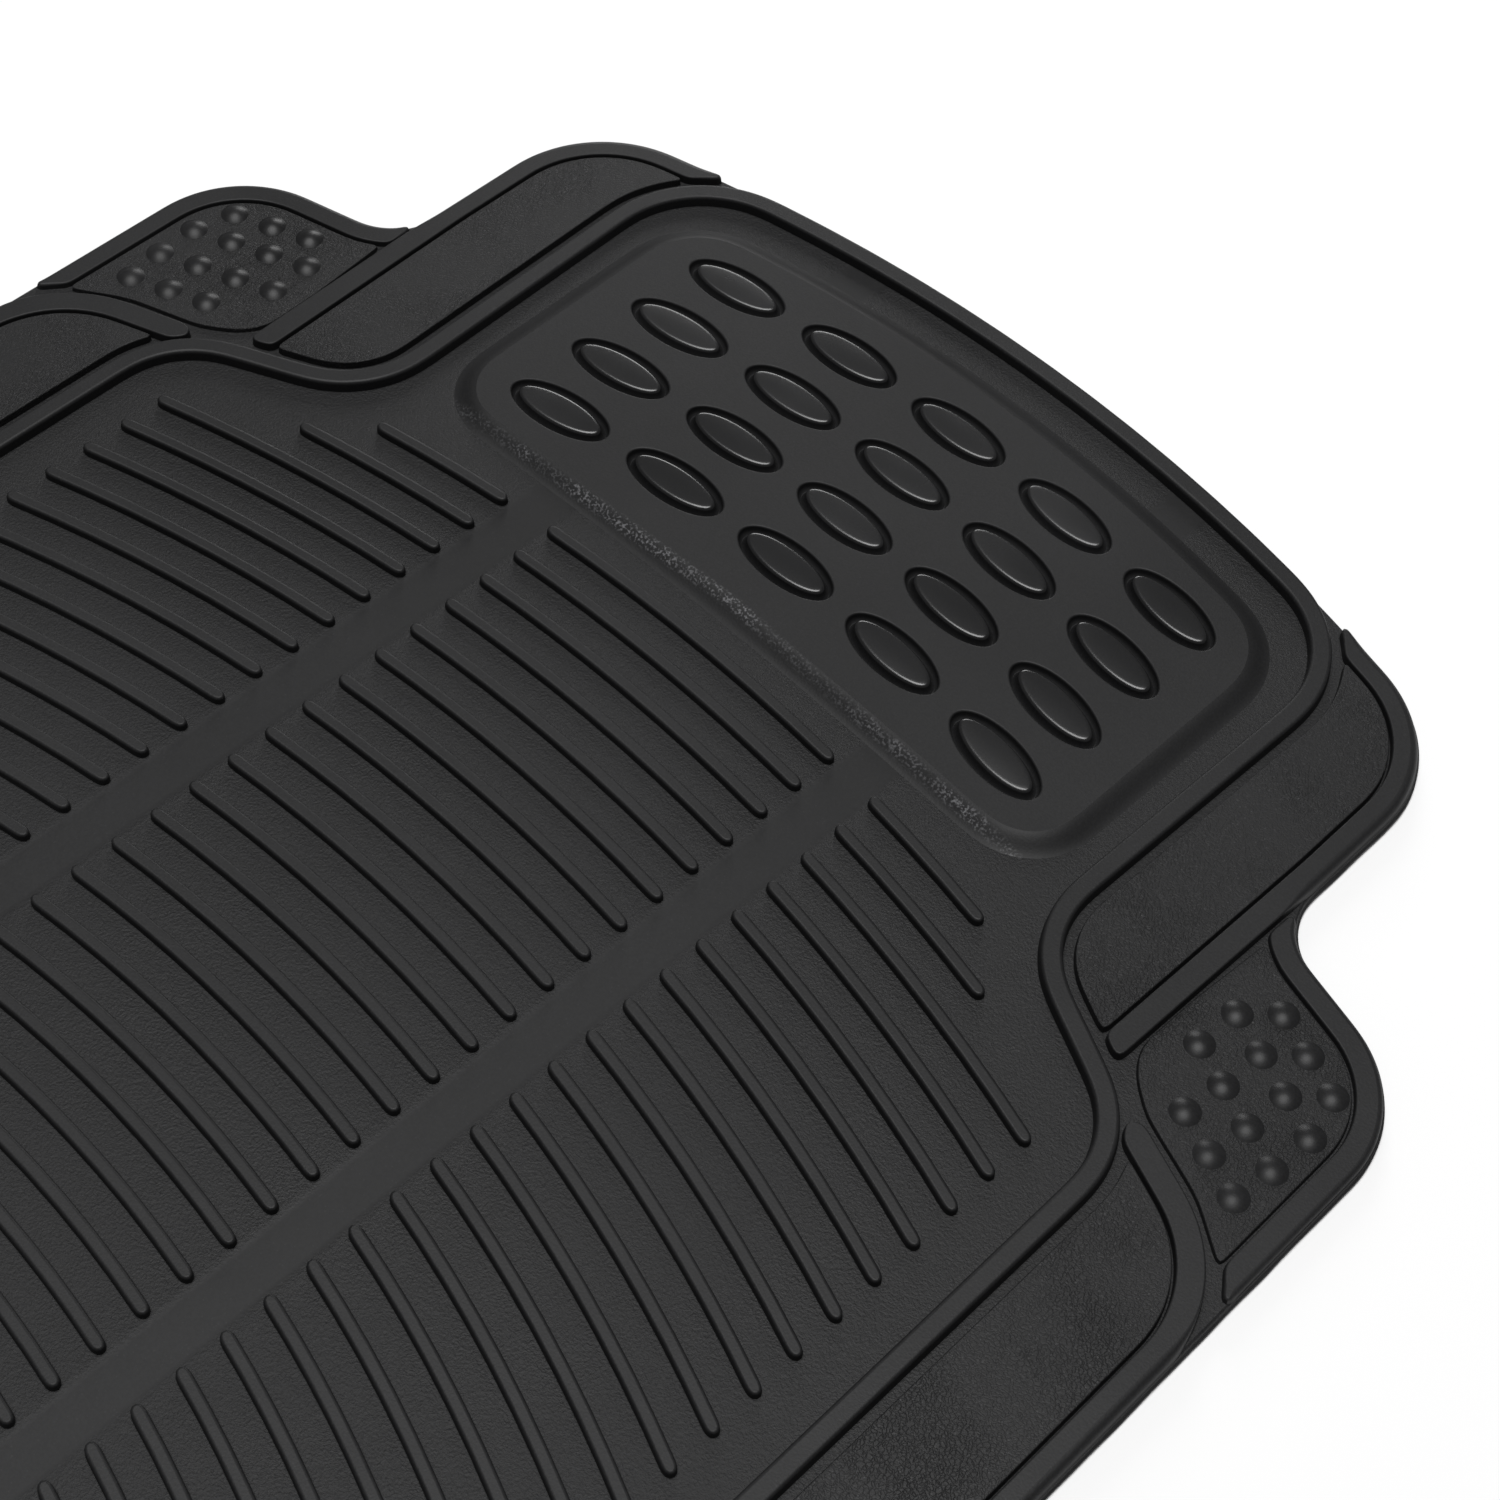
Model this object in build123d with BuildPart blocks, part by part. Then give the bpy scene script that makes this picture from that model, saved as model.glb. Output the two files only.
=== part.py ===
from build123d import *
import math
import os

# Moulded rubber floor mat for the front footwell of a car or truck.
# Frame: X across the mat, Y along it with the far (pedal) end at +Y, Z up.
# Origin: middle of the mat's outside box, on the floor.
# Every plan shape is symmetric about X = 0, so only the right half is written down.
# A corner is (x, y, radius): the point where two straight runs meet, and the radius that rounds it.

# ------------------------------------------------------------------ driving dimensions (mm)
HALF_WIDTH = 230.8
HALF_LENGTH = 355.0
SHOULDER_X = 171.8
EDGE_LEDGE = 0.4

# Heights above the floor
WEB_BOTTOM = 1.2
FLOOR_TOP = 3.0
RIB_TOP = 5.5
FIELD_TOP = 5.4
PAD_TOP = 4.4
PAD_BAND_TOP = 4.8
BAND_TOP = 5.8
RIM_TOP = 6.5
DIMPLE_TOP = 5.8
HEEL_TOP = 6.2
HEEL_POCKET_FLOOR = 3.6
STUD_TOP = 6.7

# Widths
RIM_WIDTH = 6.6
RIM_GROOVE = 2.8
BAND_WIDTH = 7.6
FINE_GROOVE = 0.4
BAND_END_GROOVE = 4.0
BAND_END_ROUND = 1.3
LIP_WIDTH = 12.0

# Edge radii
SHEET_ROUND = 0.8
RIM_ROUND = 2.2
RIB_ROUND = 1.2

# Ribs: circles about one point below the near end, cut into three columns
RIB_PITCH = 12.7
RIB_WIDTH = 4.0
RIB_CENTRE_Y = -380.4
FIRST_RIB_RADIUS = 586.1
RIB_COUNT = 39
RIB_NEAR_LIMIT = -291.0
CENTRE_COLUMN_END = 56.0
OUTER_COLUMN_START = 70.5
OUTER_COLUMN_END = 169.0
SHORT_RIB_ENDS = [118.0, 133.0]
SHORTEST_RIB = 12.0

# Oval studs of the heel panel, in rows along arcs
OVAL_CENTRE_Y = -302.8
OVAL_MIDDLE_RADIUS = 580.6
OVAL_ROW_PITCH = 24.0
OVAL_COLUMN_PITCH = 42.5
OVAL_ROWS = 4
OVAL_COLUMNS = 5
OVAL_HALF_LENGTH = 17.0
OVAL_HALF_WIDTH = 7.6
OVAL_GROOVE = 2.0
STUD_CHAMFER = 0.9
HEEL_SLOPE = 6.5

# Round dimples of each side pad: first point of each row, and how many
DIMPLE_RADIUS = 4.2
DIMPLE_STEP = (11.7, -4.9)
DIMPLE_ROWS = [(189.2, 228.8, 3), (180.7, 220.5, 4), (179.7, 206.7, 4), (189.5, 189.2, 3)]

# Pointed nibs on the underside
NIB_PITCH = 24.0
NIB_RADIUS = 1.5
NIB_TIP_RADIUS = 0.4
NIB_BOTTOM = 0.15
NIB_MARGIN = 16.0

# Where the side panels and bands hand over to the near end's
NEAR_SPLIT_Y = -262.0

# ------------------------------------------------------------------ corners of the plan shapes
OUTLINE = [
    (0, 371.6, 546),
    (SHOULDER_X, 328.8, 41),
    (SHOULDER_X, 249.2, 19),
    (HALF_WIDTH, 233.4, 36),
    (HALF_WIDTH, -HALF_LENGTH, 50),
]
RIM_LINE = [
    (0, 360.6, 525),
    (132.3, 334.7, 36),
    (128.4, 199.9, 31),
    (185.2, 172.7, 30),
    (185.2, -309.4, 36),
]
HEEL_FOOT = [
    (0, 344.7, 500),
    (120.7, 323.4, 28),
    (119.4, 211.3, 22),
    (0, 217.4, 1500),
]
CORNER_BAND_LINE = [
    (110.0, 339.4, 0),
    (167.3, 325.1, 37),
    (167.3, 268.0, 150),
    (164.8, 182.0, 0),
]
PAD_BAND_LINE = [
    (167.3, 266.0, 0),
    (167.3, 245.9, 23),
    (226.3, 230.0, 32),
    (226.3, 148.0, 0),
]
PAD_LINE = [
    (173.4, 256.0, 0),
    (168.0, 192.7, 20),
    (183.5, 181.4, 15),
    (206.5, 173.0, 30),
    (230.0, 157.0, 0),
    (230.0, 256.0, 0),
]
SIDE_BAND_LINE = [
    (184.8, 174.9, 0),
    (226.3, 158.9, 37),
    (226.3, 4.5 - HALF_LENGTH, 46),
    (0, 4.5 - HALF_LENGTH, 0),
]

# A point inside each right-hand face, which tells the faces of an area apart
IN_CORNER_BAND = (167.3, 280.0)
IN_CORNER_PANEL = (150.0, 280.0)
IN_PAD_BAND = (226.3, 190.0)
IN_PAD = (200.0, 210.0)
IN_SIDE_PANEL = (205.0, 0.0)


# ------------------------------------------------------------------ plan shapes
def whole_loop(right_half):
    """The right half's corners, then their mirror images back to the start."""
    left_half = [(-x, y, r) for x, y, r in reversed(right_half) if x > 0]
    return right_half + left_half


def loop_face(right_half, grow=0.0):
    """Face inside a closed loop, with its edge moved outwards by grow."""
    corners = whole_loop(right_half)
    with BuildSketch() as area:
        with BuildLine():
            FilletPolyline(
                *[(x, y) for x, y, r in corners],
                radius=[r for x, y, r in corners],
                close=True,
            )
        make_face()
        if grow:
            offset(amount=grow)
    return area.sketch


def strip_face(corners, width):
    """Face of a strip with round ends along an open line, and its mirror image."""
    with BuildLine() as line:
        FilletPolyline(
            *[(x, y) for x, y, r in corners],
            radius=[r for x, y, r in corners[1:-1]],
        )
    with BuildSketch() as area:
        SlotArc(line.wires()[0], width)
        mirror(about=Plane.YZ)
    return area.sketch


def pad_face():
    """Face inside the corners of the right side pad, and its mirror image."""
    with BuildLine() as line:
        FilletPolyline(
            *[(x, y) for x, y, r in PAD_LINE],
            radius=[r for x, y, r in PAD_LINE],
            close=True,
        )
    with BuildSketch() as area:
        make_face(line.edges())
        mirror(about=Plane.YZ)
    return area.sketch


def round_ended(area):
    """The area without its thin points: moved in, then out again as far."""
    with BuildSketch() as rounded:
        add(area)
        offset(amount=-BAND_END_ROUND)
        offset(amount=BAND_END_ROUND)
    return rounded.sketch


def oval_face(inset=0.0):
    """Oval of one pocket, or of the stud that stands in it with a groove all round."""
    with BuildSketch() as area:
        Ellipse(OVAL_HALF_LENGTH - inset, OVAL_HALF_WIDTH - inset)
    return area.sketch


def oval_places():
    """Location of every oval: rows on arcs, each oval turned along its arc."""
    places = []
    for row in range(OVAL_ROWS):
        radius = OVAL_MIDDLE_RADIUS + ((OVAL_ROWS - 1) / 2 - row) * OVAL_ROW_PITCH
        for column in range(OVAL_COLUMNS):
            x = (column - (OVAL_COLUMNS - 1) / 2) * OVAL_COLUMN_PITCH
            turn = math.asin(x / radius)
            y = OVAL_CENTRE_Y + radius * math.cos(turn)
            places.append(Location((x, y, 0), (0, 0, -math.degrees(turn))))
    return places


def dimple_places(side):
    """Centres of one pad's dimples: side is 1 for the right pad and -1 for the left."""
    return [
        (side * (x + i * DIMPLE_STEP[0]), y + i * DIMPLE_STEP[1])
        for x, y, count in DIMPLE_ROWS
        for i in range(count)
    ]


def rib_span(radius, start_x, end_x):
    """Start and end angle of a rib, from straight up, kept above the near limit."""
    tip = RIB_WIDTH / 2
    start = math.asin((start_x + tip) / radius) if start_x > 0 else -1
    end = math.pi / 2 if end_x - tip >= radius else math.asin((end_x - tip) / radius)
    lowest = math.acos(min(1.0, (RIB_NEAR_LIMIT - RIB_CENTRE_Y) / radius))
    return start, min(end, lowest)


def rib_arc(radius, start, end):
    """Centre line of one rib between two angles from straight up, clockwise."""
    points = [
        (radius * math.sin(a), RIB_CENTRE_Y + radius * math.cos(a))
        for a in (start, (start + end) / 2, end)
    ]
    with BuildLine() as line:
        ThreePointArc(*points)
    return line.wires()[0]


# ------------------------------------------------------------------ shared areas
rim_area = loop_face(RIM_LINE, RIM_WIDTH / 2) - loop_face(RIM_LINE, -RIM_WIDTH / 2)
inside_rim_groove = loop_face(RIM_LINE, RIM_WIDTH / 2 + RIM_GROOVE)
inside_rim_line = loop_face(RIM_LINE, RIM_WIDTH / 2 + FINE_GROOVE)
body_area = loop_face(OUTLINE, -EDGE_LEDGE)

corner_band_area = strip_face(CORNER_BAND_LINE, BAND_WIDTH) & body_area
corner_band_area = round_ended(corner_band_area - inside_rim_groove)
wide_corner_band = strip_face(CORNER_BAND_LINE, BAND_WIDTH + 2 * FINE_GROOVE)

main_band_area = strip_face(SIDE_BAND_LINE, BAND_WIDTH) & body_area
main_band_area -= inside_rim_line
wide_main_band = strip_face(SIDE_BAND_LINE, BAND_WIDTH + 2 * FINE_GROOVE)

# A wider gap parts the pad band's near end from the side band.
pad_band_area = strip_face(PAD_BAND_LINE, BAND_WIDTH) & body_area
pad_band_area -= wide_corner_band
pad_band_area -= strip_face(SIDE_BAND_LINE, BAND_WIDTH + 2 * BAND_END_GROOVE)
pad_band_area = round_ended(pad_band_area)
wide_pad_band = strip_face(PAD_BAND_LINE, BAND_WIDTH + 2 * FINE_GROOVE)

# What is left between the rim and the bands falls into the raised fields.
field_area = body_area - inside_rim_groove - wide_corner_band
field_area = field_area - wide_pad_band - wide_main_band

# The pad keeps clear of the rim with a round tip.
pad_area = field_area & pad_face()


def face_at(area, point, side=1):
    """The one face of an area that holds the point: side 1 is the right half, -1 its mirror."""
    x, y = point
    return [f for f in area.faces() if f.is_inside((side * x, y, 0))][0]


def half_plane(side, y_low, y_high):
    """A large rectangle: side 1 is right of X = 0, -1 left of it, 0 the full width."""
    reach = 2 * HALF_WIDTH
    with BuildSketch() as area:
        with Locations((side * reach / 2, (y_low + y_high) / 2)):
            Rectangle(reach if side else 2 * reach, y_high - y_low)
    return area.sketch


def raise_area(area, z_low, z_high, rounding=0.0):
    """Solid on an area between two heights, with its top edges rounded if asked."""
    with BuildPart() as raised:
        with BuildSketch(Plane.XY.offset(z_low)):
            add(area)
        extrude(amount=z_high - z_low)
        if rounding:
            top = raised.faces().filter_by(Axis.Z).group_by(Axis.Z)[-1]
            fillet(top.edges(), rounding)
    return raised.part


def save(part, name):
    """Labels a finished piece and writes its STEP file."""
    part.label = name
    export_step(part, f"parts/{name}.step")


os.makedirs("parts", exist_ok=True)

# ------------------------------------------------------------------ mat sheet
with BuildPart() as mat_sheet:
    with BuildSketch():
        add(loop_face(OUTLINE))
    extrude(amount=FLOOR_TOP)
    fillet(mat_sheet.faces().sort_by(Axis.Z)[-1].edges(), SHEET_ROUND)
    with BuildSketch(Plane.XY):
        add(loop_face(OUTLINE, -LIP_WIDTH))
    extrude(amount=WEB_BOTTOM, mode=Mode.SUBTRACT)
save(mat_sheet.part, "mat_sheet")

# ------------------------------------------------------------------ nibs under the sheet
nib_zone = loop_face(OUTLINE, -NIB_MARGIN).faces()[0]
nib_columns = int(HALF_WIDTH / NIB_PITCH)
nib_rows = int(HALF_LENGTH / NIB_PITCH)
nib_points = [
    (i * NIB_PITCH, j * NIB_PITCH)
    for i in range(-nib_columns, nib_columns + 1)
    for j in range(-nib_rows, nib_rows + 1)
    if nib_zone.is_inside((i * NIB_PITCH, j * NIB_PITCH, 0))
]
with BuildPart() as underside_nibs:
    with Locations(*[(x, y, NIB_BOTTOM) for x, y in nib_points]):
        Cone(
            NIB_TIP_RADIUS,
            NIB_RADIUS,
            WEB_BOTTOM - NIB_BOTTOM,
            align=(Align.CENTER, Align.CENTER, Align.MIN),
        )
save(underside_nibs.part, "underside_nibs")

# ------------------------------------------------------------------ rim bead round the tray
tray_rim = raise_area(rim_area, FLOOR_TOP, RIM_TOP, RIM_ROUND)
save(tray_rim, "tray_rim")

# ------------------------------------------------------------------ heel panel and its oval studs
with BuildPart() as heel_panel:
    with BuildSketch(Plane.XY.offset(FLOOR_TOP)):
        add(loop_face(HEEL_FOOT))
    with BuildSketch(Plane.XY.offset(HEEL_TOP)):
        add(loop_face(HEEL_FOOT, -HEEL_SLOPE))
    loft(ruled=True)
    with BuildSketch(Plane.XY.offset(HEEL_POCKET_FLOOR)):
        with Locations(*oval_places()):
            add(oval_face())
    extrude(amount=HEEL_TOP, mode=Mode.SUBTRACT)
save(heel_panel.part, "heel_panel")

with BuildPart() as oval_studs:
    with BuildSketch(Plane.XY.offset(HEEL_POCKET_FLOOR)):
        with Locations(*oval_places()):
            add(oval_face(OVAL_GROOVE))
    extrude(amount=STUD_TOP - HEEL_POCKET_FLOOR)
    stud_tops = oval_studs.faces().filter_by(Axis.Z).group_by(Axis.Z)[-1]
    chamfer(stud_tops.edges(), STUD_CHAMFER)
save(oval_studs.part, "oval_studs")


# ------------------------------------------------------------------ ribs
def rib_column(side):
    """All ribs of one column: side is 0 for the centre, 1 for right and -1 for left."""
    with BuildPart() as column:
        with BuildSketch(Plane.XY.offset(FLOOR_TOP)):
            for n in range(RIB_COUNT):
                radius = FIRST_RIB_RADIUS - n * RIB_PITCH
                if side == 0:
                    start, end = rib_span(radius, 0, CENTRE_COLUMN_END)
                    start = -end
                else:
                    far_end = (SHORT_RIB_ENDS + [OUTER_COLUMN_END])[min(n, 2)]
                    if OUTER_COLUMN_START + RIB_WIDTH > radius:
                        continue
                    start, end = rib_span(radius, OUTER_COLUMN_START, far_end)
                if (end - start) * radius < SHORTEST_RIB:
                    continue
                if side < 0:
                    start, end = -end, -start
                SlotArc(rib_arc(radius, start, end), RIB_WIDTH)
        extrude(amount=RIB_TOP - FLOOR_TOP)
        tops = column.faces().filter_by(Axis.Z).group_by(Axis.Z)[-1]
        fillet(tops.edges(), RIB_ROUND)
    return column.part


for side, name in ((-1, "ribs_left"), (0, "ribs_centre"), (1, "ribs_right")):
    save(rib_column(side), name)

# ------------------------------------------------------------------ corner, pad and side features
for side, name in ((-1, "left"), (1, "right")):
    corner_band = face_at(corner_band_area, IN_CORNER_BAND, side)
    save(raise_area(corner_band, FLOOR_TOP, BAND_TOP), f"corner_band_{name}")

    corner_field = face_at(field_area, IN_CORNER_PANEL, side)
    save(raise_area(corner_field, FLOOR_TOP, FIELD_TOP), f"corner_panel_{name}")

    pad_band = face_at(pad_band_area, IN_PAD_BAND, side)
    save(raise_area(pad_band, FLOOR_TOP, PAD_BAND_TOP), f"pad_band_{name}")

    pad_field = face_at(pad_area, IN_PAD, side)
    save(raise_area(pad_field, FLOOR_TOP, PAD_TOP), f"dimple_pad_{name}")

    with BuildPart() as dimples:
        rise = DIMPLE_TOP - PAD_TOP
        ball = (DIMPLE_RADIUS**2 + rise**2) / (2 * rise)
        for x, y in dimple_places(side):
            with BuildSketch(Plane.XZ.offset(-y)):
                with BuildLine():
                    Line((x, PAD_TOP), (x + DIMPLE_RADIUS, PAD_TOP))
                    RadiusArc((x + DIMPLE_RADIUS, PAD_TOP), (x, DIMPLE_TOP), -ball)
                    Line((x, DIMPLE_TOP), (x, PAD_TOP))
                make_face()
            revolve(axis=Axis((x, y, 0), (0, 0, 1)))
    save(dimples.part, f"dimples_{name}")

    side_zone = half_plane(side, NEAR_SPLIT_Y, HALF_LENGTH)
    side_band = main_band_area & side_zone
    save(raise_area(side_band, FLOOR_TOP, BAND_TOP), f"side_band_{name}")
    side_field = face_at(field_area, IN_SIDE_PANEL, side) & side_zone
    save(raise_area(side_field, FLOOR_TOP, FIELD_TOP), f"side_panel_{name}")

# ------------------------------------------------------------------ near end
near_zone = half_plane(0, -2 * HALF_LENGTH, NEAR_SPLIT_Y)
save(raise_area(main_band_area & near_zone, FLOOR_TOP, BAND_TOP), "near_band")
near_field = face_at(field_area, IN_SIDE_PANEL) & near_zone
save(raise_area(near_field, FLOOR_TOP, FIELD_TOP), "near_panel")
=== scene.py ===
import math

import bmesh
import bpy
import numpy as np
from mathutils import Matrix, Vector, noise
from mathutils.geometry import delaunay_2d_cdt


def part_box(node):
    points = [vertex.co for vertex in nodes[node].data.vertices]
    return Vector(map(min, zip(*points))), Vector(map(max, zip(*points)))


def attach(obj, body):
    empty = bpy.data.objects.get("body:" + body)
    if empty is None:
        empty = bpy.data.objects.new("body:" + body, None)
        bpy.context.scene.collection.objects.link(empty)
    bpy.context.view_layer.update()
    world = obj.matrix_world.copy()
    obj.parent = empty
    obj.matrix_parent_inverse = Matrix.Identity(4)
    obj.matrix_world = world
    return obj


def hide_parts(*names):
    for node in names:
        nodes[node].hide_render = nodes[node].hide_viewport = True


# Looks of a moulded rubber footwell mat. Every piece is built on the outline of the node that it replaces.
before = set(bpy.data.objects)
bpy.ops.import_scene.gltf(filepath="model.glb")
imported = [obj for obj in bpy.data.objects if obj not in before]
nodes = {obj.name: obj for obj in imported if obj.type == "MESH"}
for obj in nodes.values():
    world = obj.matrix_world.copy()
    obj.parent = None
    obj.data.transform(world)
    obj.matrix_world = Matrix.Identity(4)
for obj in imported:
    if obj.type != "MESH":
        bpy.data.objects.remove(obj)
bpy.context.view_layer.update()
MM = 0.001

# ------------------------------------------------------------------ heights and places, read from the frame
FLOOR_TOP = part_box("mat_sheet")[1].z
WEB_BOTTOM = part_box("underside_nibs")[1].z
RIM_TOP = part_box("tray_rim")[1].z
RIB_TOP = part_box("ribs_centre")[1].z
HEEL_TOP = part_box("heel_panel")[1].z
STUD_BASE, STUD_TOP = (corner.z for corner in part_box("oval_studs"))
PAD_TOP, DIMPLE_TOP = (corner.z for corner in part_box("dimples_right"))
NEAR_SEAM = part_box("near_band")[1].y

# ------------------------------------------------------------------ the meshes' own sizes
STEP = 1.2 * MM
FINE_STEP = 0.7 * MM
FEWEST_POINTS = 16
ROUND_RINGS = 5
SHARP_ANGLE = math.radians(48)
LEVEL = 0.99999
SAME_PLACE = 0.02 * MM


# ------------------------------------------------------------------ outlines from the frame
def border_edges(name, height, seam_y):
    """Both ends of each edge round a node's level faces at one height. Edges along a seam are left out."""
    part = bmesh.new()
    part.from_mesh(nodes[name].data)
    bmesh.ops.remove_doubles(part, verts=part.verts, dist=SAME_PLACE / 10)

    def level(item):
        return all(abs(v.co.z - height) < SAME_PLACE / 2 for v in item.verts)

    def on_seam(edge):
        return seam_y is not None and all(abs(v.co.y - seam_y) < SAME_PLACE for v in edge.verts)

    ends = []
    for edge in part.edges:
        if level(edge) and sum(level(face) for face in edge.link_faces) == 1 and not on_seam(edge):
            ends.append([v.co.copy() for v in edge.verts])
    part.free()
    return ends


def chain(first, seen):
    """The vertices of the loop that starts at one of them. Each is added to seen."""
    loop = []
    here = first
    while here is not None:
        loop.append(here)
        seen.add(here)
        others = [edge.other_vert(here) for edge in here.link_edges]
        here = next((v for v in others if v not in seen), None)
    return loop


def outlines(names, height, seam_y=None):
    """Closed loops round the nodes' level faces at one height, as N x 2 arrays, joined across a seam."""
    joined = bmesh.new()
    for name in names:
        for ends in border_edges(name, height, seam_y):
            joined.edges.new([joined.verts.new(end) for end in ends])
    bmesh.ops.remove_doubles(joined, verts=joined.verts, dist=SAME_PLACE)
    loops = []
    seen = set()
    for first in joined.verts:
        if first not in seen and len(first.link_edges) == 2:
            points = [v.co[:2] for v in chain(first, seen)]
            loops.append(counter_clockwise(np.array(points)))
    joined.free()
    return loops


def signed_area(loop):
    """Above 0 for a counter-clockwise loop."""
    x, y = loop.T
    return 0.5 * np.sum(x * np.roll(y, -1) - np.roll(x, -1) * y)


def counter_clockwise(loop):
    return loop if signed_area(loop) > 0 else loop[::-1]


def resample(loop, step):
    """The same closed loop with points a step apart."""
    ends = np.vstack([loop, loop[:1]])
    lengths = np.hypot(*np.diff(ends, axis=0).T)
    along = np.concatenate([[0], np.cumsum(lengths)])
    count = max(FEWEST_POINTS, int(round(along[-1] / step)))
    places = np.arange(count) * along[-1] / count
    return np.column_stack([np.interp(places, along, ends[:, axis]) for axis in (0, 1)])


def soften(values, rounds):
    """Rounds off a closed run of points or numbers."""
    for _ in range(rounds):
        values = (np.roll(values, 1, axis=0) + 2 * values + np.roll(values, -1, axis=0)) / 4
    return values


def smooth_loop(loop, step, rounds):
    return resample(soften(resample(loop, step), rounds), step)


def inward(loop):
    """Normals that point into the loop, of length 1 before they are evened out a little."""
    along = np.roll(loop, -2, axis=0) - np.roll(loop, 2, axis=0)
    along /= np.hypot(*along.T)[:, None]
    return soften(np.column_stack([-along[:, 1], along[:, 0]]), rounds=2)


def room(loop):
    """Radius of the largest circle inside the loop that touches each point."""
    normals = inward(loop)
    apart = loop[None, :, :] - loop[:, None, :]
    depth = np.einsum("ijk,ik->ij", apart, normals)
    with np.errstate(divide="ignore", invalid="ignore"):
        radius = np.where(depth > SAME_PLACE, np.sum(apart**2, axis=2) / (2 * depth), np.inf)
    return radius.min(axis=1)


def in_loop(point, loop):
    """Whether a point is inside a closed loop, by counting crossings."""
    x, y = loop.T
    next_x, next_y = np.roll(x, -1), np.roll(y, -1)
    crossing = (y > point[1]) != (next_y > point[1])
    with np.errstate(divide="ignore", invalid="ignore"):
        at = x + (point[1] - y) / (next_y - y) * (next_x - x)
    return np.count_nonzero(crossing & (point[0] < at)) % 2 == 1


# ------------------------------------------------------------------ rings of points at a height
def lifted(loop, inset, height):
    """A loop moved inwards by a distance, or by one distance a point, at a height."""
    points = loop + inward(loop) * np.broadcast_to(inset, len(loop))[:, None]
    return np.column_stack([points, np.broadcast_to(height, len(loop))])


def scaled(loop, share, height):
    """A loop drawn in towards its middle, at a height."""
    middle = loop.mean(axis=0)
    return np.column_stack([middle + (loop - middle) * share, np.full(len(loop), height)])


def circle(middle, radius, sides, height):
    turns = np.arange(sides) * 2 * math.pi / sides
    x, y = middle
    return np.column_stack([x + radius * np.cos(turns), y + radius * np.sin(turns), np.full(sides, height)])


# How far in, and how far below its top, each ring of a shoulder of radius 1 is.
SHOULDER = []
for k in range(ROUND_RINGS + 1):
    turn = math.pi / 2 * k / ROUND_RINGS
    SHOULDER.append((1 - math.cos(turn), 1 - math.sin(turn)))


def rounded_rings(loop, base, top, radius, draft=0.25 * MM):
    """Foot, drafted wall and rounded shoulder. The radius is one number, or one a point."""
    rings = [lifted(loop, 0, base)]
    for across, down in SHOULDER:
        rings.append(lifted(loop, draft + radius * across, top - radius * down))
    return rings


# ------------------------------------------------------------------ mesh building
def add(name, data):
    made = bpy.data.objects.new(name, data)
    bpy.context.scene.collection.objects.link(made)
    return made


class Shape:
    """Vertices and faces of one piece."""

    def __init__(self):
        self.vertices = []
        self.faces = []

    def rings(self, rings, top=True, around=False, hollow=False):
        """Joins rings of equal length, from the lowest up, and returns the last one's vertices' numbers.

        The first ring is closed by a face, and with top the last one too. With around they are joined to each
        other instead. The faces of a hollow look inwards.
        """
        start = len(self.vertices)
        count = len(rings[0])
        for ring in rings:
            self.vertices.extend(map(tuple, ring))
        levels = len(rings) if around else len(rings) - 1
        for level in range(levels):
            low = start + level * count
            high = start + (level + 1) % len(rings) * count
            for i in range(count):
                j = (i + 1) % count
                outside = (low + i, low + j, high + j, high + i)
                inside = (low + j, low + i, high + i, high + j)
                self.faces.append(inside if hollow else outside)
        first = range(start, start + count)
        last = range(len(self.vertices) - count, len(self.vertices))
        if not around:
            self.faces.append(tuple(first if hollow else reversed(first)))
        if top and not around:
            self.faces.append(tuple(last))
        return last

    def cap(self, border, holes):
        """Closes the level area between a border and the holes in it, each given by its vertices' numbers."""
        numbers = list(border)
        edges = [(i, (i + 1) % len(border)) for i in range(len(border))]
        for hole in holes:
            start = len(numbers)
            numbers.extend(hole)
            edges.extend((start + i, start + (i + 1) % len(hole)) for i in range(len(hole)))
        corners = [Vector(self.vertices[number][:2]) for number in numbers]
        _, _, triangles, origins = delaunay_2d_cdt(corners, edges, [], 1, 1e-9)[:4]
        loops = [np.array([self.vertices[number][:2] for number in hole]) for hole in holes]
        middles = np.array([loop.mean(axis=0) for loop in loops])
        for triangle in triangles:
            face = tuple(numbers[origins[i][0]] for i in triangle)
            middle = np.mean([self.vertices[number][:2] for number in face], axis=0)
            nearest = int(np.argmin(np.hypot(*(middles - middle).T)))
            if not in_loop(middle, loops[nearest]):
                self.faces.append(face)

    def piece(self, name, material, stands_for):
        """Makes the object. Level faces are shaded flat, and the others smooth up to the sharp angle."""
        mesh = bpy.data.meshes.new(name)
        mesh.from_pydata(self.vertices, [], self.faces)
        mesh.shade_smooth()
        mesh.set_sharp_from_angle(angle=SHARP_ANGLE)
        for face in mesh.polygons:
            if abs(face.normal.z) > LEVEL:
                face.use_smooth = False
        mesh.materials.append(material)
        made = add(name, mesh)
        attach(made, "root")
        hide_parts(*stands_for)


# ------------------------------------------------------------------ shader nodes
def node(tree, kind, **inputs):
    """A shader node with some inputs set, each by its name or as i and its number, to a value or a socket."""
    made = tree.nodes.new(kind)
    for name, value in inputs.items():
        number = name[1:]
        socket = made.inputs[int(number) if number.isdigit() else name.replace("_", " ")]
        if isinstance(value, bpy.types.NodeSocket):
            tree.links.new(value, socket)
        else:
            socket.default_value = value
    return made


def maths(tree, operation, *values):
    made = node(tree, "ShaderNodeMath", **{f"i{i}": value for i, value in enumerate(values)})
    made.operation = operation
    return made.outputs[0]


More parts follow.
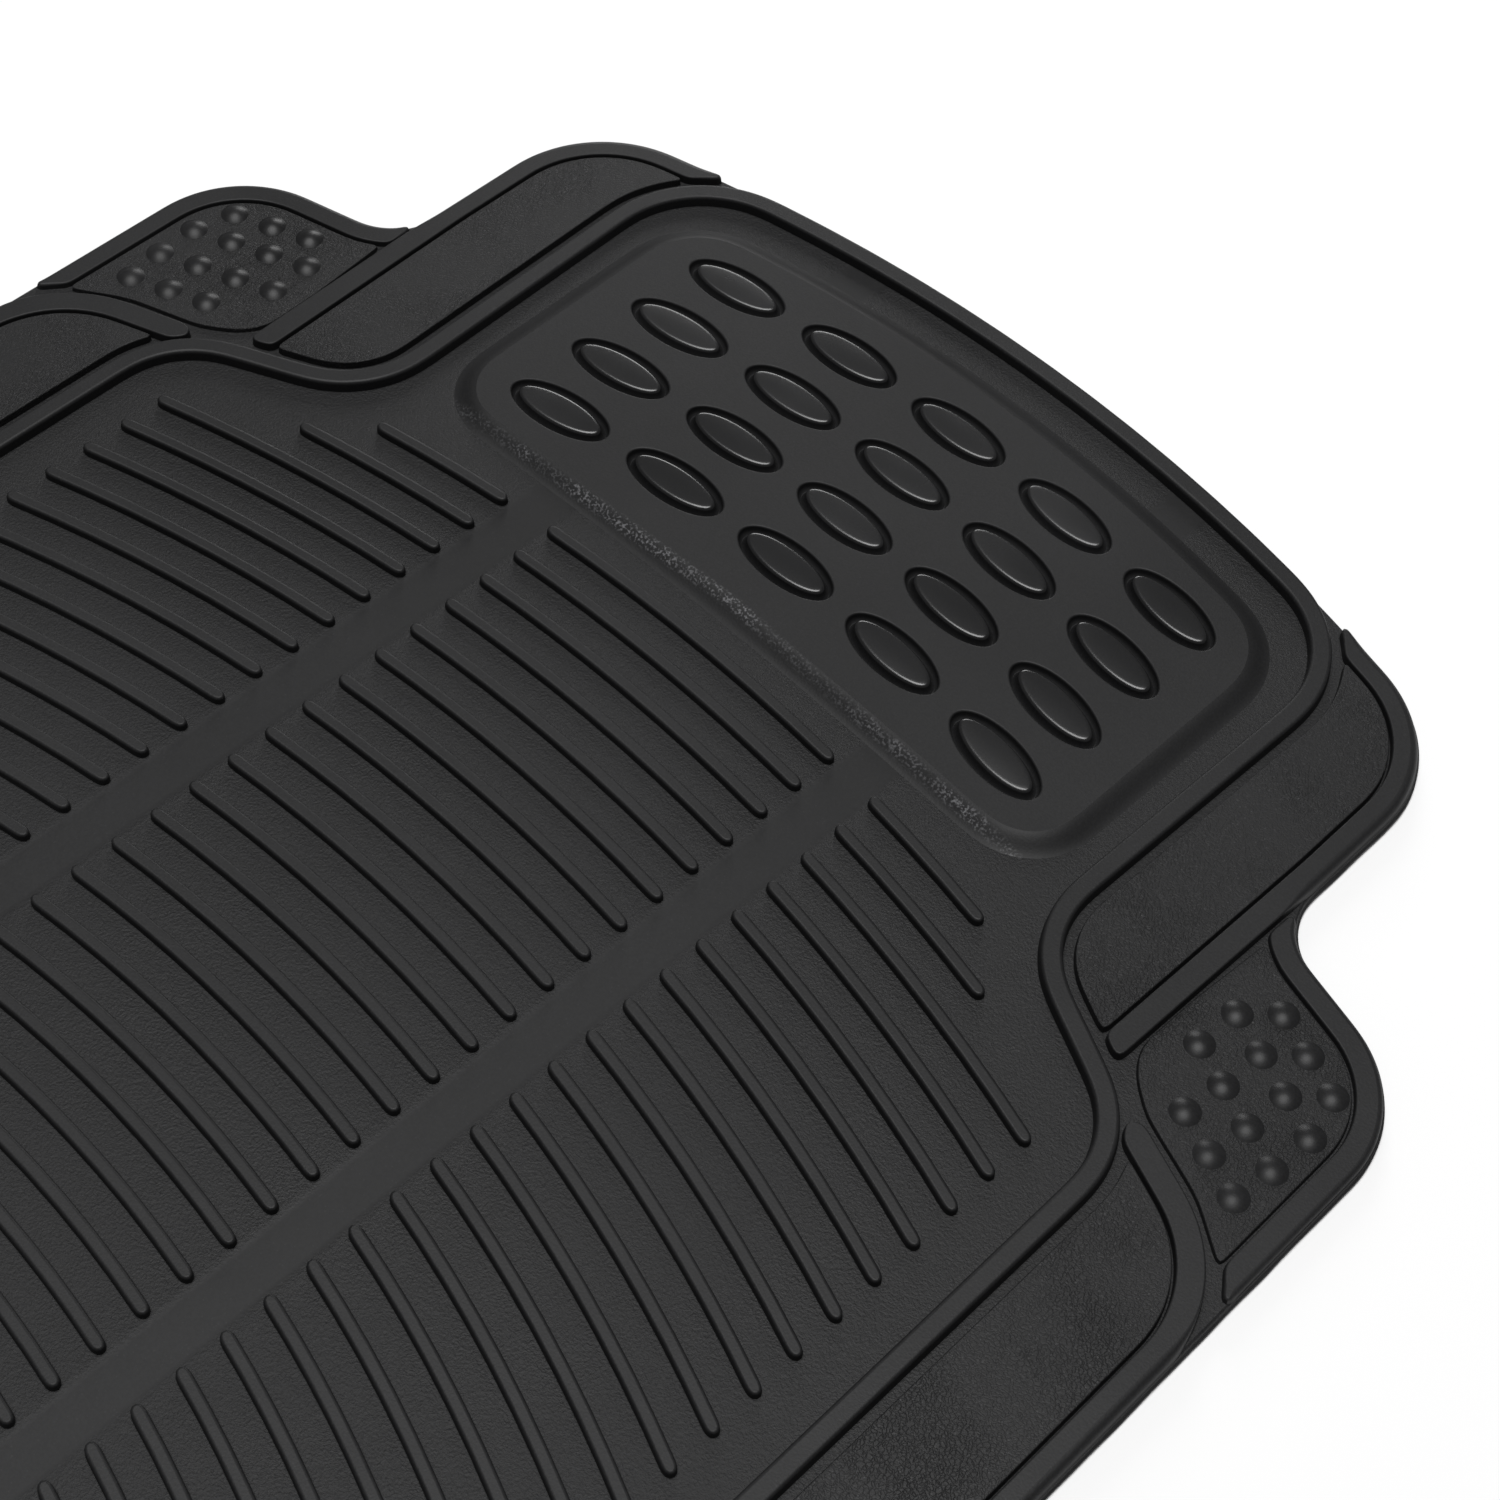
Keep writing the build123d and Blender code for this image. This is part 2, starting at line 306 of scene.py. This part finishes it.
def ramp(tree, value, low, high, to_low=0.0, to_high=1.0):
    """Eases from one value to another between two limits."""
    made = node(tree, "ShaderNodeMapRange", Value=value)
    made.interpolation_type = "SMOOTHSTEP"
    for name, number in (("From Min", low), ("From Max", high), ("To Min", to_low), ("To Max", to_high)):
        made.inputs[name].default_value = number
    return made.outputs["Result"]


def strip(tree, value, start, end, softness):
    """1 between two places and 0 outside them. Each change takes the softness either side of its place."""
    rise = ramp(tree, value, start - softness, start + softness)
    fall = ramp(tree, value, end - softness, end + softness, 1.0, 0.0)
    return maths(tree, "MULTIPLY", rise, fall)


def clouds(tree, place, scale, detail, **others):
    return node(tree, "ShaderNodeTexNoise", Vector=place, Scale=scale, Detail=detail, **others).outputs["Fac"]


def bumped(tree, height, depth, **normal):
    """A bump of a depth in metres, on top of a normal if one is given."""
    return node(tree, "ShaderNodeBump", Height=height, Strength=1.0, Distance=depth, **normal).outputs[0]


# ------------------------------------------------------------------ marks, a painted highlight and grain of the rubber
CHANNEL_INNER = 56.5 * MM
CHANNEL_OUTER = 70.5 * MM
CHANNEL_SOFTNESS = 1.5 * MM
# Place and spread of the painted highlight along the heel panel's near shoulder.
HIGHLIGHT_Y = 221.2 * MM
HIGHLIGHT_HALF_WIDTH = 1.6 * MM
HIGHLIGHT_SOFTNESS = 1.0 * MM
HIGHLIGHT_LEAN = 0.051
SPECK_SCALE = 1000.0
SPECK_RADIUS = 0.22
SPECK_SHARE = 0.2
UNEVENNESS = 0.5 * MM
COOLNESS = 1.04


def channels(tree, place):
    """1 in the two channels between the columns of ribs, 0 elsewhere."""
    x = node(tree, "ShaderNodeSeparateXYZ", Vector=place).outputs["X"]
    return strip(tree, maths(tree, "ABSOLUTE", x), CHANNEL_INNER, CHANNEL_OUTER, CHANNEL_SOFTNESS)


def painted_shoulder_highlight(tree, place):
    """Painted highlight: pale coarse grain painted along the heel panel's near shoulder, where the shoulder
    catches the light.
    """
    axes = node(tree, "ShaderNodeSeparateXYZ", Vector=place)
    lean = maths(tree, "MULTIPLY", maths(tree, "ABSOLUTE", axes.outputs["X"]), HIGHLIGHT_LEAN)
    y = maths(tree, "ADD", axes.outputs["Y"], lean)
    band = strip(tree, y, HIGHLIGHT_Y - HIGHLIGHT_HALF_WIDTH, HIGHLIGHT_Y + HIGHLIGHT_HALF_WIDTH, HIGHLIGHT_SOFTNESS)
    highlight_patches = ramp(tree, clouds(tree, place, 45.0, 3.0), 0.38, 0.62, 0.25, 1.0)
    glint_grain = ramp(tree, clouds(tree, place, 1300.0, 2.0), 0.46, 0.7, 0.0, 0.12)
    return maths(tree, "MULTIPLY", maths(tree, "MULTIPLY", band, highlight_patches), glint_grain)


def specks(tree, place):
    """1 on a few small spots, 0 elsewhere."""
    cells = node(tree, "ShaderNodeTexVoronoi", Vector=place, Scale=SPECK_SCALE, Randomness=1.0)
    chance = node(tree, "ShaderNodeSeparateColor", Color=cells.outputs["Color"]).outputs[0]
    spot = maths(tree, "LESS_THAN", cells.outputs["Distance"], SPECK_RADIUS)
    return maths(tree, "MULTIPLY", spot, maths(tree, "LESS_THAN", chance, SPECK_SHARE))


def leather_grain(tree, place):
    """Creases between uneven cells, deeper in some patches."""
    bend = node(tree, "ShaderNodeTexNoise", Vector=place, Scale=420.0, Detail=2.0)
    shift = node(tree, "ShaderNodeMix", Factor=0.0022)
    shift.data_type = "VECTOR"
    tree.links.new(place, shift.inputs[4])
    tree.links.new(bend.outputs["Color"], shift.inputs[5])
    cells = node(tree, "ShaderNodeTexVoronoi", Vector=shift.outputs[1], Scale=900.0)
    cells.feature = "DISTANCE_TO_EDGE"
    crease = ramp(tree, cells.outputs["Distance"], 0.0, 0.16)
    depth = ramp(tree, clouds(tree, place, 34.0, 3.0), 0.35, 0.65, 0.35, 1.0)
    return maths(tree, "MULTIPLY", crease, depth)


# ------------------------------------------------------------------ materials
def rubber(name, tone, roughness, stipple, leather=0.0, dust=0.006, shine=0.22, parted=False, highlighted_shoulder=False):
    """Black moulded rubber. Stipple and leather are bump depths in metres. Parted stipple skips channels."""
    material = bpy.data.materials.new(name)
    material.use_nodes = True
    tree = material.node_tree
    shader = tree.nodes["Principled BSDF"]
    shader.inputs["Specular IOR Level"].default_value = shine
    place = node(tree, "ShaderNodeTexCoord").outputs["Object"]

    # Relief: fine stipple, then leather grain, then the slow unevenness of the moulding.
    fine = clouds(tree, place, 1500.0, 2.0, Roughness=0.6)
    grain = fine
    if parted:
        grain = maths(tree, "MULTIPLY", fine, maths(tree, "SUBTRACT", 1.0, channels(tree, place)))
    bump = bumped(tree, grain, stipple)
    if leather:
        bump = bumped(tree, leather_grain(tree, place), leather, Normal=bump)
    bump = bumped(tree, clouds(tree, place, 22.0, 2.0), UNEVENNESS, Normal=bump)
    tree.links.new(bump, shader.inputs["Normal"])

    # Colour: a little mottled, with bloom in soft patches and a few specks of dust.
    patches = clouds(tree, place, 9.0, 4.0)
    bloom = ramp(tree, patches, 0.35, 0.75, 0.85, 1.25)
    mottle = ramp(tree, fine, 0.3, 0.7, 0.85, 1.15)
    value = maths(tree, "MULTIPLY", maths(tree, "MULTIPLY", bloom, mottle), tone)
    value = maths(tree, "ADD", value, maths(tree, "MULTIPLY", specks(tree, place), dust))
    # Painted highlight: pale grain added along the heel panel's near shoulder, standing in for the light it
    # catches.
    if highlighted_shoulder:
        value = maths(tree, "ADD", value, painted_shoulder_highlight(tree, place))
    blue = maths(tree, "MULTIPLY", value, COOLNESS)
    colour = node(tree, "ShaderNodeCombineColor", i0=value, i1=value, i2=blue)
    tree.links.new(colour.outputs[0], shader.inputs["Base Color"])
    rough = ramp(tree, patches, 0.3, 0.7, roughness - 0.04, roughness + 0.05)
    tree.links.new(rough, shader.inputs["Roughness"])
    return material


smooth = rubber("smooth_rubber", tone=0.011, roughness=0.48, stipple=0.04 * MM)
# The heel rubber carries the painted highlight along its near shoulder.
heel = rubber("heel_rubber", tone=0.011, roughness=0.52, stipple=0.04 * MM, dust=0.004, highlighted_shoulder=True)
studs = rubber("stud_rubber", tone=0.011, roughness=0.26, stipple=0.006 * MM, dust=0.0, shine=0.5)
domes = rubber("dimple_rubber", tone=0.012, roughness=0.38, stipple=0.02 * MM, dust=0.0, shine=0.2)
grained = rubber("grained_rubber", tone=0.0105, roughness=0.5, stipple=0.08 * MM, leather=0.09 * MM, dust=0.02)
stippled = rubber("stippled_rubber", tone=0.0105, roughness=0.5, stipple=0.21 * MM, parted=True)

# ------------------------------------------------------------------ mat sheet
RAGGED_SCALE = 90
RAGGED_DEPTH = 0.22 * MM
TAG_SCALE = 35
TAG_LIMIT = 0.45
TAG_DEPTH = 4.0 * MM


def flash(loop):
    """How far the ragged moulding flash moves each point of the edge inwards: below 0 where it stands out."""
    ragged = [noise.noise(Vector((x, y, 0)) * RAGGED_SCALE) for x, y in loop]
    tags = [max(0.0, noise.noise(Vector((x, y, 7)) * TAG_SCALE) - TAG_LIMIT) for x, y in loop]
    return -(np.array(ragged) * RAGGED_DEPTH + np.array(tags) * TAG_DEPTH)


# Inset and height in mm, and the share of the flash, from the underside's recess round the lip to the floor.
SHEET_PROFILE = [
    (12.6, WEB_BOTTOM / MM, 0),
    (12.1, 0.9, 0),
    (11.9, 0.2, 0),
    (11.5, 0.0, 0),
    (1.0, 0.0, 0.3),
    (0.35, 0.25, 1),
    (0.0, 0.7, 1),
    (0.1, 1.3, 0.6),
    (0.6, 1.6, 0.2),
    (0.75, 2.3, 0),
    (1.0, 2.8, 0),
    (1.5, FLOOR_TOP / MM, 0),
]
mat_edge = smooth_loop(max(outlines(["mat_sheet"], 0.0), key=signed_area), STEP, rounds=14)
edge_flash = flash(mat_edge)
sheet = Shape()
sheet.rings([lifted(mat_edge, inset * MM + edge_flash * share, z * MM) for inset, z, share in SHEET_PROFILE])
sheet.piece("moulded_sheet", stippled, ["mat_sheet"])

# ------------------------------------------------------------------ nibs under the sheet
# Radius and distance below the web, in mm, from the tip up.
NIB_PROFILE = [(0.25, 1.05), (0.55, 0.95), (0.95, 0.6), (1.35, 0.25), (1.9, 0.0)]
NIB_SIDES = 14
nibs = Shape()
for loop in outlines(["underside_nibs"], WEB_BOTTOM):
    middle = loop.mean(axis=0)
    nibs.rings([circle(middle, r * MM, NIB_SIDES, WEB_BOTTOM - down * MM) for r, down in NIB_PROFILE])
nibs.piece("moulded_nibs", smooth, ["underside_nibs"])

# ------------------------------------------------------------------ rim bead
RIM_SHOULDER = 1.1 * MM
RIM_DRAFT = 0.3 * MM
rim_loops = sorted(outlines(["tray_rim"], FLOOR_TOP), key=signed_area)
rim_outer = smooth_loop(rim_loops[-1], STEP, rounds=14)
rim_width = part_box("tray_rim")[1].x - rim_loops[0][:, 0].max()
section = [(0.0, FLOOR_TOP)]
section += [(RIM_DRAFT + RIM_SHOULDER * across, RIM_TOP - RIM_SHOULDER * down) for across, down in SHOULDER]
section += [(rim_width - inset, z) for inset, z in reversed(section)]
rim = Shape()
rim.rings([lifted(rim_outer, inset, z) for inset, z in section], around=True)
rim.piece("moulded_rim", smooth, ["tray_rim"])

# ------------------------------------------------------------------ heel panel with its oval pockets
HEEL_SLOPE = 6.5 * MM
SLOPE_RINGS = 16
SLOPE_TURN = 1.8
LARGEST_POCKET = 1000 * MM**2
POCKET_LIP = 0.6 * MM
# Inset and height above the pocket's floor, from the floor up its wall.
POCKET_WALL = [(1.0 * MM, 0.0), (0.4 * MM, 0.45 * MM), (0.1 * MM, 1.2 * MM)]


def heel_slope(foot):
    """The panel's side, an S in section, from its foot up."""
    rings = []
    for k in range(SLOPE_RINGS + 1):
        t = k / SLOPE_RINGS
        rise = 0.5 + 0.5 * math.tanh(SLOPE_TURN * (t - 0.5)) / math.tanh(SLOPE_TURN / 2)
        rings.append(lifted(foot, HEEL_SLOPE * t, FLOOR_TOP + (HEEL_TOP - FLOOR_TOP) * rise))
    return rings


def pocket_rings(pocket):
    """A pocket's wall and the rounded lip round its top."""
    rings = [lifted(pocket, inset, STUD_BASE + up) for inset, up in POCKET_WALL]
    for across, down in SHOULDER:
        rings.append(lifted(pocket, -POCKET_LIP * across, HEEL_TOP - POCKET_LIP * down))
    return rings


heel_foot = smooth_loop(max(outlines(["heel_panel"], FLOOR_TOP), key=signed_area), STEP, rounds=20)
pockets = [loop for loop in outlines(["heel_panel"], HEEL_TOP) if signed_area(loop) < LARGEST_POCKET]
heel_panel = Shape()
border = heel_panel.rings(heel_slope(heel_foot), top=False)
lips = []
for loop in pockets:
    pocket = smooth_loop(loop, FINE_STEP, rounds=3)
    lips.append(heel_panel.rings(pocket_rings(pocket), top=False, hollow=True))
heel_panel.cap(border, lips)
heel_panel.piece("moulded_heel_panel", heel, ["heel_panel"])

# ------------------------------------------------------------------ crowned oval studs
STUD_SHOULDER = 1.2 * MM
STUD_CROWN = 0.15 * MM
STUD_RINGS = 10
SHOULDER_TOP = STUD_TOP - STUD_CROWN
# Inset and height above the pocket's floor of the flared foot, and the height where the wall starts.
STUD_FOOT = [(-0.9 * MM, 0.0), (-0.315 * MM, 0.45 * MM)]
STUD_WALL = 1.3 * MM
oval_studs = Shape()
for loop in outlines(["oval_studs"], STUD_BASE):
    oval = smooth_loop(loop, FINE_STEP, rounds=3)
    rings = [lifted(oval, inset, STUD_BASE + up) for inset, up in STUD_FOOT]
    rings += rounded_rings(oval, STUD_BASE + STUD_WALL, SHOULDER_TOP, STUD_SHOULDER)
    inner = rings[-1][:, :2]
    for k in range(1, STUD_RINGS):
        share = 1 - k / STUD_RINGS
        rings.append(scaled(inner, share, SHOULDER_TOP + STUD_CROWN * (1 - share**2)))
    oval_studs.rings(rings)
oval_studs.piece("crowned_ovals", studs, ["oval_studs"])

# ------------------------------------------------------------------ ribs
RIB_SHOULDER = 0.9 * MM
RIB_DRAFT = 0.15 * MM
for name in ("ribs_left", "ribs_centre", "ribs_right"):
    ribs = Shape()
    for loop in outlines([name], FLOOR_TOP):
        loop = smooth_loop(loop, STEP, rounds=2)
        ribs.rings(rounded_rings(loop, FLOOR_TOP, RIB_TOP, RIB_SHOULDER, RIB_DRAFT))
    ribs.piece("moulded_" + name, smooth, [name])

# ------------------------------------------------------------------ bands, panels and dimples
NEAR_EDGE = 1.8 * MM
ROLLED_RADIUS = 2.5 * MM
BAND_SHOULDER = 0.5 * MM
SHORTEST_WALL = 0.1 * MM
SHARE_OF_ROOM = 0.75
PANEL_SHOULDER = 0.4 * MM
DIMPLE_SIDES = 40
DIMPLE_RINGS = 12


def band_radius(loop, height):
    """The shoulder's radius at each point: large on the mat's edge, tight elsewhere, less at narrow tips."""
    gap = np.array([np.hypot(*(mat_edge - point).T).min() for point in loop])
    radius = soften(np.where(gap < NEAR_EDGE, ROLLED_RADIUS, BAND_SHOULDER), rounds=30)
    radius = np.minimum(radius, height - SHORTEST_WALL)
    return soften(np.minimum(radius, SHARE_OF_ROOM * room(loop)), rounds=4)


def band(piece_name, names, seam_y=None):
    """A band, rolled over where it follows the mat's edge."""
    top = max(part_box(name)[1].z for name in names)
    shape = Shape()
    for loop in outlines(names, FLOOR_TOP, seam_y):
        loop = smooth_loop(loop, STEP, rounds=3)
        shape.rings(rounded_rings(loop, FLOOR_TOP, top, band_radius(loop, top - FLOOR_TOP)))
    shape.piece(piece_name, smooth, names)


def panel(piece_name, names, seam_y=None):
    """A low raised field with a softly rounded edge."""
    top = max(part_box(name)[1].z for name in names)
    shape = Shape()
    for loop in outlines(names, FLOOR_TOP, seam_y):
        shape.rings(rounded_rings(smooth_loop(loop, STEP, rounds=6), FLOOR_TOP, top, PANEL_SHOULDER))
    shape.piece(piece_name, grained, names)


def dimples(piece_name, name):
    """Round domes on a pad."""
    shape = Shape()
    for loop in outlines([name], PAD_TOP):
        middle = loop.mean(axis=0)
        radius = np.hypot(*(loop - middle).T).max()
        rings = []
        for k in range(DIMPLE_RINGS):
            share = 1 - k / DIMPLE_RINGS
            height = PAD_TOP + (DIMPLE_TOP - PAD_TOP) * (1 - share**2)
            rings.append(circle(middle, radius * share, DIMPLE_SIDES, height))
        shape.rings(rings)
    shape.piece(piece_name, domes, [name])


for side in ("left", "right"):
    band("rolled_corner_band_" + side, ["corner_band_" + side])
    band("rolled_pad_band_" + side, ["pad_band_" + side])
    panel("grained_corner_panel_" + side, ["corner_panel_" + side])
    panel("grained_dimple_pad_" + side, ["dimple_pad_" + side])
    dimples("round_dimples_" + side, "dimples_" + side)
band("rolled_main_band", ["side_band_left", "near_band", "side_band_right"], NEAR_SEAM)
panel("grained_main_panel", ["side_panel_left", "near_panel", "side_panel_right"], NEAR_SEAM)

# ------------------------------------------------------------------ floor
REACH = 12.0
floor_mesh = bpy.data.meshes.new("floor")
corners = [(-REACH, -REACH, 0), (REACH, -REACH, 0), (REACH, REACH, 0), (-REACH, REACH, 0)]
floor_mesh.from_pydata(corners, [], [(0, 1, 2, 3)])
paper = bpy.data.materials.new("paper")
paper.use_nodes = True
paper_shader = paper.node_tree.nodes["Principled BSDF"]
paper_shader.inputs["Base Color"].default_value = (0.86, 0.86, 0.86, 1)
paper_shader.inputs["Roughness"].default_value = 0.9
floor_mesh.materials.append(paper)
floor = add("floor", floor_mesh)

# ------------------------------------------------------------------ light
CEILING_TILT = math.radians(-3.4)
BACK_PLACE = Vector((-1.1, 1.5, 0.55))
BACK_AIM = Vector((0, 0.1, 0))

world = bpy.data.worlds.new("studio")
world.use_nodes = True
background = world.node_tree.nodes["Background"]
background.inputs["Color"].default_value = (1, 1, 1, 1)
background.inputs["Strength"].default_value = 0.12
bpy.context.scene.world = world

# A sun's light keeps the floor even out to the horizon, and its wide angle keeps the shadows soft.
ceiling = bpy.data.lights.new("ceiling", "SUN")
ceiling.angle = math.radians(37)
ceiling.energy = 3.1
add("ceiling", ceiling).rotation_euler = (0, CEILING_TILT, 0)

softbox = bpy.data.lights.new("back_softbox", "AREA")
softbox.shape = "SQUARE"
softbox.size = 0.6
softbox.energy = 7.5
softbox_stand = add("back_softbox", softbox)
softbox_stand.location = BACK_PLACE
softbox_stand.rotation_euler = (BACK_AIM - BACK_PLACE).to_track_quat("-Z", "Y").to_euler()

# ------------------------------------------------------------------ camera
lens = bpy.data.cameras.new("camera")
lens.sensor_width = 36
lens.lens = 69.84
camera = add("camera", lens)
camera.location = (339.9 * MM, -154.5 * MM, 632.4 * MM)
camera.rotation_euler = [math.radians(a) for a in (36.016, -2.507, 44.721)]
bpy.context.scene.camera = camera
bpy.context.scene.view_settings.view_transform = "Standard"
